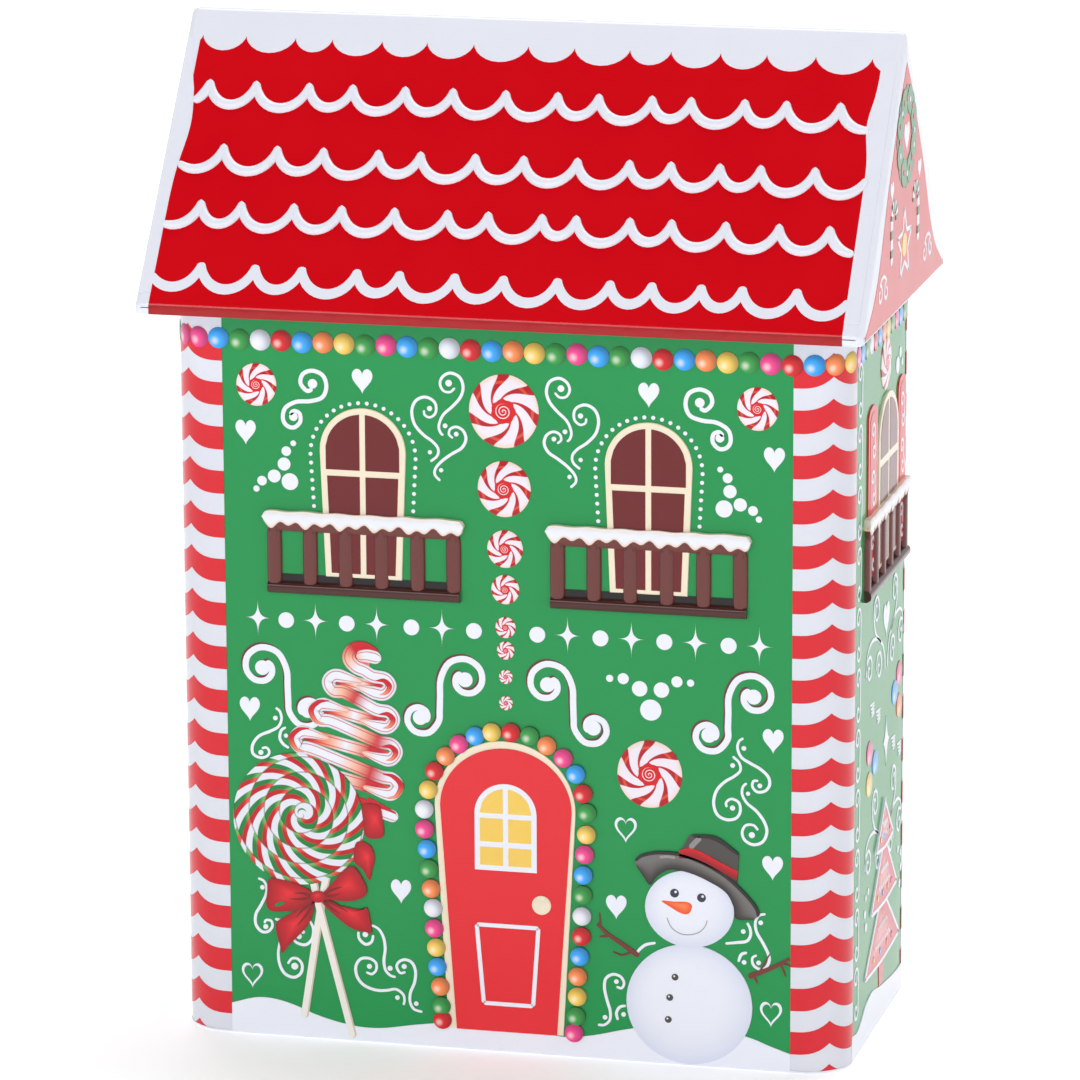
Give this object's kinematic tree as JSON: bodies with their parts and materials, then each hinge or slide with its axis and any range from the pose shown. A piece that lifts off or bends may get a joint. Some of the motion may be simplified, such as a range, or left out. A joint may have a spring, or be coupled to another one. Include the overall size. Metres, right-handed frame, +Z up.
{
  "type": "gingerbread house tin",
  "caption": "Shut house-shaped metal gift tin: a tall printed box with raised balconies and windows, under a gabled slip lid with raised icing scallops.",
  "frame": {"origin": "centre of the rectangle that the tin stands on, at its base", "axes": "+Z up; the front wall with the door faces -Y; +X is to the right when looking at the front wall"},
  "size_m": [0.1492, 0.0876, 0.2089],
  "materials": {
    "printed_green_tinplate": "gloss lacquered print on tinplate: green walls, white and red corner stripes, sweets, balconies, door and snow",
    "printed_red_tinplate": "gloss lacquered print on tinplate: red slopes with white icing scallops, white ridge and edges"
  },
  "bodies": {
    "root": {"tin_body": "printed_green_tinplate", "roof_lid": "printed_red_tinplate"}
  },
  "joints": []
}
